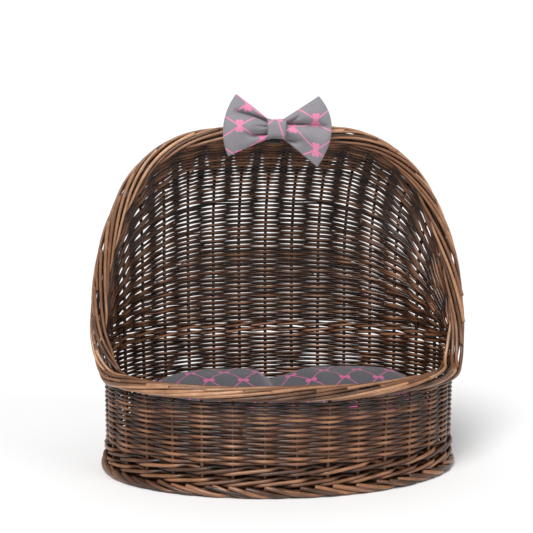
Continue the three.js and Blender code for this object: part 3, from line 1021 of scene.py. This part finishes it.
CUSHION_SQUARENESS = 2.1
CUSHION_INSET = 6
CUSHION_SEAM = 46
CUSHION_RIDGE = 0.24
CREASE_X = -5
CREASE_DEPTH = 17
CREASE_LEFT, CREASE_RIGHT = 16, 12
HOLLOW_DEPTH, HOLLOW_X, HOLLOW_REACH = 8, 18, 32
TUFT_HEIGHT, TUFT_X, TUFT_Y = 10, 5, 40
SWELL_CAP = 6
SEAM_WIDTH, SEAM_PULL = 2.4, 3.0
CUSHION_PRINT = (5, 12)
CUSHION_PRINT_SCALE = 0.9
SIDE_PRINT_HEIGHT = 26


def crease_dip(x, y):
    """Depth of the crease between the lobes, the hollow right of it and the tuft at its back."""
    from_crease = x - CREASE_X
    sides = np.where(from_crease < 0, CREASE_LEFT, CREASE_RIGHT)
    fold = CREASE_DEPTH * np.exp(-np.abs(from_crease / sides) ** 1.6)
    hollow = HOLLOW_DEPTH * np.exp(-((from_crease - HOLLOW_X) / HOLLOW_REACH) ** 2)
    tuft = np.exp(-((from_crease - TUFT_X) / 5) ** 2 - ((y - TUFT_Y) / 40) ** 2)
    return fold + hollow - TUFT_HEIGHT * tuft


def cushion_start(half, middle):
    """A stuffed pillow: domed from front to back, fuller across, with a crease between two lobes."""
    around = np.linspace(0, 2 * np.pi, 144, endpoint=False)
    radius = np.sin(np.linspace(0, np.pi / 2, 30))[:, None]
    power = 2 / CUSHION_SQUARENESS
    x = half[0] * radius * np.sign(np.cos(around)) * np.abs(np.cos(around)) ** power
    y = half[1] * radius * np.sign(np.sin(around)) * np.abs(np.sin(around)) ** power
    across, deep = x / half[0], y / half[1]
    reach = np.maximum((1 - np.abs(deep) ** CUSHION_SQUARENESS), 1e-6) ** (1 / CUSHION_SQUARENESS)
    filled = np.sqrt(1 - np.minimum(np.abs(across) / reach, 1) ** np.where(across > 0, 12, 6))
    to_edge = np.where(deep > CUSHION_RIDGE, 1 - CUSHION_RIDGE, 1 + CUSHION_RIDGE)
    dome = (1 - np.abs((deep - CUSHION_RIDGE) / to_edge) ** 1.75) ** 0.8
    shown = smoothstep(dome * filled, 0.0, 0.6)
    lobes = 1 - 0.05 * np.abs(np.abs(across) - 0.42)
    ripple = 1.3 * np.sin(x / 13 + y / 45) * np.exp(-((x + 4) / 90) ** 2)
    rise = CUSHION_HIGH[2] - CUSHION_SEAM + 2
    top = rise * filled * dome * lobes - shown * (crease_dip(x, y) + ripple)
    under = (CUSHION_SEAM - CUSHION_LOW[2] - 1) * np.sqrt(1 - radius ** 5)
    upper = stack(x, y, np.maximum(top, 1 - under)) + [0, middle[1], CUSHION_SEAM]
    lower = stack(x, y, -under) + [0, middle[1], CUSHION_SEAM]
    return np.concatenate([upper, lower[-2::-1]])


def cushion():
    half = (CUSHION_HIGH - CUSHION_LOW) / 2 - CUSHION_INSET
    middle = (CUSHION_HIGH + CUSHION_LOW) / 2
    mesh = grid_mesh("cushion_pad", cushion_start(half, middle), False, True)
    piece = place("cushion_pad", mesh, CUSHION_FABRIC)
    remesh(piece, 6)
    swell(piece, 4.0, 0.05, SWELL_CAP)
    subdivide(piece)
    points = points_of(piece.data)
    flat = (points - middle)[:, :2]
    outline = np.linalg.norm(flat / half[:2], axis=1)
    at_seam = np.exp(-((points[:, 2] - CUSHION_SEAM) / SEAM_WIDTH) ** 2)
    at_seam = at_seam * smoothstep(outline, 0.8, 0.95)
    outward = unit(flat + [1e-6, 0])
    points[:, :2] -= outward * (SEAM_PULL * at_seam)[:, None]
    points = np.clip(points, CUSHION_LOW + 0.3, CUSHION_HIGH + 4)
    move_points(piece.data, points)
    # The print follows the cloth down the sides and round the seam.
    drop = np.maximum(SIDE_PRINT_HEIGHT + CUSHION_SEAM - points[:, 2], 0)
    cloth = flat + outward * drop[:, None] + CUSHION_PRINT
    lay_cloth(piece.data, stack(cloth[:, 0], cloth[:, 1], 0) * CUSHION_PRINT_SCALE)
    piece.data.materials.clear()
    piece.data.materials.append(CUSHION_FABRIC)
    piece.data.shade_smooth()
    return piece


# ---------------- bow

BOW_CENTRE = (KNOT_LOW + KNOT_HIGH) / 2
LOOP_DEPTH = 15
LOOP_GAP = 0.28
LOOP_THICKNESS = 1.6
KNOT_SIDE, KNOT_GRIP = 9, 13.0
KNOT_ROUNDNESS = 0.55
KNOT_PRINT_TURN = math.radians(16)

# Each loop's corners and bulge, right of the knot and up from its middle. Its print's middle,
# and the shift of the print where cloth is tucked into a fold. Its creases: how far out and how
# high each begins and ends, its depth and its width.
LEFT_LOOP = {
    "top": (-58, 51), "side": (-77, 6), "bottom": (-70, -40), "print": (-55, 4.3),
    "tuck": {"line": (0.8, 0.5), "side": 1, "shift": (12.9, -11.3), "fade": (2.0, 3.0)},
    "creases": ((0.0, 0.8, 1.0, 0.5, 12, 0.2),
                (0.0, -0.5, 0.6, -0.3, 10, 0.2),
                (0.0, 0.25, 0.45, 0.1, 4, 0.2)),
}
RIGHT_LOOP = {
    "top": (63, 48), "side": (83, 0), "bottom": (61, -56), "print": (58, 14),
    "tuck": {"line": (0.45, 0.05), "side": -1, "shift": (0.0, 8.9), "fade": (0.15, 0.55)},
    "creases": ((0.0, 0.55, 0.5, 0.8, 8, 0.16),
                (0.1, 0.45, 1.1, 0.0, 13, 0.26),
                (0.0, -0.9, 0.5, -0.55, 10, 0.2)),
}


def crease(out, across, shape):
    """Depth of one fold: a sharp edge on its upper side and a soft slope below."""
    start, start_height, end, end_height, depth, width = shape
    line = start_height + (end_height - start_height) * (out - start) / (end - start)
    gap = across - line
    slope = np.where(gap > 0, np.exp(-gap / (0.35 * width)), np.exp(-((gap / width) ** 2)))
    shown = smoothstep(out, start - 0.1, start + 0.1) * (1 - smoothstep(out, end - 0.3, end))
    return depth * shown * slope


def tucked(out, across, shape):
    """How much of the cloth beyond a fold is hidden inside it, from 0 to 1."""
    start, end = shape["line"]
    beyond = shape["side"] * (across - start - (end - start) * out)
    return smoothstep(beyond, -0.03, 0.03) * (1 - smoothstep(out, *shape["fade"]))


def bow_loop(name, shape):
    """A pressed strip gathered at the knot, bowed out to a soft fold and gathered again behind."""
    across = np.linspace(-1, 1, 61)[None, :]
    along = np.linspace(-1, 1, 85)[:, None]
    out = 1 - np.abs(along)
    top, side, bottom = (np.array(shape[key], float) for key in ("top", "side", "bottom"))
    # The fold's line runs through the two corners and the bulge between them.
    pull = side - (top + bottom) / 2
    edge_x = top[0] * (1 + across) / 2 + bottom[0] * (1 - across) / 2 + pull[0] * (1 - across ** 2)
    edge_z = top[1] * (1 + across) / 2 + bottom[1] * (1 - across) / 2 + pull[1] * (1 - across ** 2)
    sign = np.sign(side[0])
    knot_x, knot_z = sign * KNOT_SIDE + 0 * across, KNOT_GRIP * across
    r = np.sin(out * np.pi / 2) ** 0.9
    x = knot_x + (edge_x - knot_x) * r
    z = knot_z + (edge_z - knot_z) * r ** 1.05
    open_out = np.sqrt(np.clip(1 - r ** 3.2, 0, 1)) * (0.5 + 0.5 * smoothstep(r, 0, 0.5))
    depth = LOOP_DEPTH * open_out * (LOOP_GAP + (1 - LOOP_GAP) * (1 - np.abs(across) ** 2.4))
    gathered = 1 - smoothstep(r, 0.25, 0.95)
    folds = sum(crease(r, across, one) for one in shape["creases"])
    lean = 1.5 * np.sin(3.1 * across + sign) * r
    waves = (0.6 + 1.2 * gathered) * np.cos(6 * across + sign + r) * np.clip(1 - r ** 6, 0, 1)
    front = along < 0
    y = np.where(front, -depth - waves + folds * (1 - r ** 6) + lean, depth + waves + lean)
    mesh = grid_mesh(name, stack(x, y, z) + BOW_CENTRE, False, False)
    piece = place(name, mesh, BOW_FABRIC)
    print_x, print_z = shape["print"]
    hidden = tucked(r, across, shape["tuck"])
    shift_x, shift_z = shape["tuck"]["shift"]
    cloth_z = (z - print_z) * (1 + 0.25 * gathered) + 0.3 * folds - shift_z * hidden
    lay_cloth(mesh, stack(x - print_x - shift_x * hidden, cloth_z, 0))
    solid = piece.modifiers.new("thick", "SOLIDIFY")
    solid.thickness = LOOP_THICKNESS * MM
    solid.offset = 0
    apply_modifiers(piece)
    subdivide(piece)
    piece.data.shade_smooth()
    return piece


def bow_knot():
    """The strip that binds the bow: flat in front, rounded at the sides, drawn in at its edges."""
    half = (KNOT_HIGH - KNOT_LOW) / 2
    around = np.linspace(0, 2 * np.pi, 72, endpoint=False)[None, :]
    across = np.linspace(-1, 1, 33)[:, None]
    y = -half[1] * np.sign(np.cos(around)) * np.abs(np.cos(around)) ** KNOT_ROUNDNESS
    z = half[2] * np.sign(np.sin(around)) * np.abs(np.sin(around)) ** KNOT_ROUNDNESS
    drawn_in = 1 - 0.10 * (1 - across ** 2) * np.abs(np.sin(around))
    drawn_in = drawn_in - 0.16 * smoothstep(np.abs(across), 0.82, 1.0)
    wrinkle = 0.35 * np.sin(5 * across + 0.8 * np.sin(2 * around))
    wrinkle = wrinkle + 0.25 * np.sin(11 * across + 1 + around * 2)
    scale = drawn_in * (1 + wrinkle / np.hypot(y, z))
    x, y, z = half[0] * across + 0 * around, y * scale, z * scale
    shell = stack(x, y, z)
    inner = stack(x * 0.97, y * 0.86, z * 0.86)[::-1]
    points = np.concatenate([shell, inner]) + BOW_CENTRE
    mesh = grid_mesh("bow_knot_wrap", points, True, True)
    piece = place("bow_knot_wrap", mesh, KNOT_FABRIC)
    cosine, sine = math.cos(KNOT_PRINT_TURN), math.sin(KNOT_PRINT_TURN)
    right, up = points[..., 0] - BOW_CENTRE[0] - 6, points[..., 2] - BOW_CENTRE[2] + 2
    cloth_x = right * cosine - up * sine + 0.75 * BONE_PITCH
    cloth_y = right * sine + up * cosine + 0.25 * ROW_PITCH
    lay_cloth(mesh, stack(cloth_x, cloth_y, 0))
    subdivide(piece)
    piece.data.shade_smooth()
    return piece


# ---------------- camera, floor and light

CAMERA_LENS, SENSOR_WIDTH = 77.67, 36
CAMERA_DISTANCE, CAMERA_HEIGHT = 1.7, 0.48
# Degrees: how far left of the front it stands, how far it looks down and left of the basket.
CAMERA_TURN, CAMERA_TILT, CAMERA_AIM = 7.5, 6.15, 0.67


def camera():
    data = bpy.data.cameras.new("camera")
    data.lens = CAMERA_LENS
    data.sensor_width = SENSOR_WIDTH
    item = bpy.data.objects.new("camera", data)
    turn = math.radians(CAMERA_TURN)
    x, y = -CAMERA_DISTANCE * math.sin(turn), -CAMERA_DISTANCE * math.cos(turn)
    item.location = (x, y + CENTRE_Y * MM, CAMERA_HEIGHT)
    item.rotation_euler = (math.radians(90 - CAMERA_TILT), 0, math.radians(CAMERA_AIM - CAMERA_TURN))
    bpy.context.scene.collection.objects.link(item)
    bpy.context.scene.camera = item


BACKDROP = 1.05
ROOM_LIGHT = 0.47
KEY_LIGHT = 2.75
FILL_LIGHT = 0.5
SUN_SPREAD = math.radians(28)
FLOOR_REACH = 12


def sun_light(name, towards, strength):
    """A broad soft light that reaches the floor evenly. towards points at the light."""
    data = bpy.data.lights.new(name, "SUN")
    data.angle = SUN_SPREAD
    data.energy = strength
    item = bpy.data.objects.new(name, data)
    item.rotation_euler = Vector(towards).to_track_quat("Z", "Y").to_euler()
    bpy.context.scene.collection.objects.link(item)


def floor():
    n = Nodes("floor_paper")
    where = n.make("TexCoord").outputs["Object"]
    shade = n.math("MULTIPLY_ADD", n.noise(where, 3.0), 0.01, 0.895)
    n.put(n.grey(shade), n.shader.inputs["Base Color"])
    n.shader.inputs["Roughness"].default_value = 0.9
    mesh = bpy.data.meshes.new("floor")
    corners = [(FLOOR_REACH * x, FLOOR_REACH * y, 0) for x, y in ((-1, -1), (1, -1), (1, 1), (-1, 1))]
    mesh.from_pydata(corners, [], [(0, 1, 2, 3)])
    place("floor", mesh, n.material)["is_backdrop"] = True


def studio():
    world = bpy.data.worlds.new("studio")
    world.use_nodes = True
    tree = world.node_tree
    background = tree.nodes["Background"]
    background.inputs["Color"].default_value = (1, 1, 1, 1)
    # The backdrop is white, and the room's own light is dimmer than it.
    seen = tree.nodes.new("ShaderNodeLightPath").outputs["Is Camera Ray"]
    strength = tree.nodes.new("ShaderNodeMapRange")
    strength.inputs["To Min"].default_value = ROOM_LIGHT
    strength.inputs["To Max"].default_value = BACKDROP
    tree.links.new(seen, strength.inputs["Value"])
    tree.links.new(strength.outputs[0], background.inputs["Strength"])
    bpy.context.scene.world = world
    bpy.context.scene.view_settings.view_transform = "Standard"
    sun_light("key", (-0.5, -1.0, 1.25), KEY_LIGHT)
    sun_light("fill", (0.9, -0.9, 0.7), FILL_LIGHT)


# ---------------- assembly

camera()
floor()
studio()


def use(piece, body, slot, *nodes):
    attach(piece, body)
    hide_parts(*nodes)
    return piece


use(stakes_piece(), BASKET, "willow", *[f"stake_{k:02d}" for k in range(1, STAKES + 1)])
use(wall_weavers(), BASKET, "willow", "wall_weave_outer", "wall_weave_inner")
use(hood_weavers(), BASKET, "willow", "hood_weave_outer", "hood_weave_inner")
lower_wale = wale("lower_wale_rods", WALE_LOW[2], WALE_HIGH[2], 0, STAKES, LOWER_WALE_RADIUS)
use(lower_wale, BASKET, "willow", "lower_wale_outer", "lower_wale_inner")
mid_ends = -MID_WALE_OVERHANG, HALF_WAY + MID_WALE_OVERHANG
mid_wale = wale("mid_wale_rods", MID_LOW[2], MID_HIGH[2], *mid_ends, MID_WALE_RADIUS)
use(mid_wale, BASKET, "willow", "mid_wale_outer", "mid_wale_inner")
use(rim_rods(), BASKET, "willow_rim", "rim_border")
use(foot_rods(), BASKET, "willow", "foot_border")
use(base_weavers(), BASKET, "willow", "base_weave_bottom", "base_weave_top")
use(base_sticks(), BASKET, "willow", *[f"base_stick_{k}" for k in range(1, BASE_STICKS + 1)])
use(cushion(), "cushion", "cushion_fabric", "cushion")
left_loop = bow_loop("bow_loop_left_cloth", LEFT_LOOP)
use(left_loop, BASKET, "bow_fabric", "bow_loop_left")
right_loop = bow_loop("bow_loop_right_cloth", RIGHT_LOOP)
use(right_loop, BASKET, "bow_fabric", "bow_loop_right")
use(bow_knot(), BASKET, "bow_fabric", "bow_knot")
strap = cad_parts["bow_strap"]
strap.data.materials.clear()
strap.data.materials.append(STRAP_FABRIC)

[[list(corner) for corner in box] for box in (CAD_BOX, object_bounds())]
